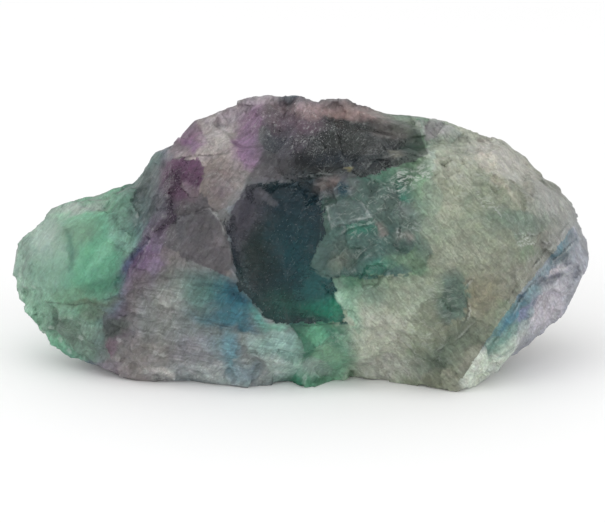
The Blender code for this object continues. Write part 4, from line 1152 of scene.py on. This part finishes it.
jitter = add("MapRange", inputs={"Value": fine["crumbs"], "To Min": -JITTER_MM, "To Max": JITTER_MM})
ledge = add("Attribute", {"attribute_name": "ledge"}).outputs["Fac"]
jittered = add("Math", {"operation": "ADD"}, {0: ledge, 1: jitter})
for name, (middle, half, strength, code) in LINES.items():
    away = add("Math", SUBTRACT, {0: jittered, 1: middle})
    away = add("Math", {"operation": "ABSOLUTE"}, {0: away})
    here = add("Attribute", {"attribute_name": name}).outputs["Fac"]
    here = add("Math", MULTIPLY, {0: patch, 1: here})
    here = add("Math", MULTIPLY, {0: here, 1: strength})
    colour = lay_over(colour, away, half, 0.0, here, code)
print("ledge lines:", ", ".join(LINES))


# %% [markdown]
# ## Gloss, clearness and fine relief
#
# The dark places are the clean breaks, so clearness and gloss follow the darkness. Grains are
# finer than the net, so their relief is a bump: each grain is a small plane with its own tilt.
# Light also spreads a little way under the skin, which softens the pale places like wax.

# %% Gloss, clearness and fine relief
FLUORITE_IOR = 1.434
SKIN_SHINE = 0.25  # half the usual level, because the skin is frosted
GLOW, GLOW_DEPTH_MM = 0.35, 0.45
DARK = 0.02
# socket: the level of grey at which the pale value is reached, value in the dark, pale value
GLOSS = {"Transmission Weight": (0.30, 0.35, 0.10), "Roughness": (0.4, 0.25, 0.50)}
TILT, BUMP = 0.12, 0.8
RELIEF = {"crumbs": 0.05, "silk": 0.05, "hairs": 0.08}  # in millimetres

levels = add("RGBToBW", inputs={0: colour})
gloss = {}
for socket, (pale_at, in_dark, in_pale) in GLOSS.items():
    gloss[socket] = add("MapRange", inputs={
        "Value": levels, "From Min": DARK, "From Max": pale_at, "To Min": in_dark, "To Max": in_pale,
    })

height = 0.0
for size_mm, cells in ((GRAIN_MM, grains), (CHIP_MM, chips)):
    inside = add("VectorMath", SUBTRACT, {0: crystal, 1: cells["Position"]})
    lean = add("VectorMath", SUBTRACT, {0: cells["Color"], 1: (0.5, 0.5, 0.5)})
    tilted = add("VectorMath", {"operation": "DOT_PRODUCT"}, {0: inside, 1: lean}).outputs["Value"]
    height = add("Math", MULTIPLY_ADD, {0: tilted, 1: 2 * TILT, 2: height})
for name, millimetres in RELIEF.items():
    height = add("Math", MULTIPLY_ADD, {0: fine[name], 1: millimetres, 2: height})
bump = add("Bump", inputs={"Height": height, "Distance": MM, "Strength": BUMP})
feed(shader, {
    **gloss, "Base Color": colour, "Normal": bump, "IOR": FLUORITE_IOR, "Specular IOR Level": SKIN_SHINE,
    "Subsurface Weight": GLOW, "Subsurface Radius": (1.0, 1.0, 1.0), "Subsurface Scale": GLOW_DEPTH_MM * MM,
})
print("nodes in the finish:", len(tree.nodes))


# %% [markdown]
# ## Handing the piece over
#
# The chunk takes the solid stone's place and moves with it. The sizes of both are written down,
# so that anyone can see that the looks stayed inside the solid's box.

# %% Ride and stand in
chunk.data.materials.clear()
chunk.data.materials.append(fluorite)
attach(chunk, "root")
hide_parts("stone")

# %% Write the sizes
low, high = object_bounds()
print("visual box:", low, high)
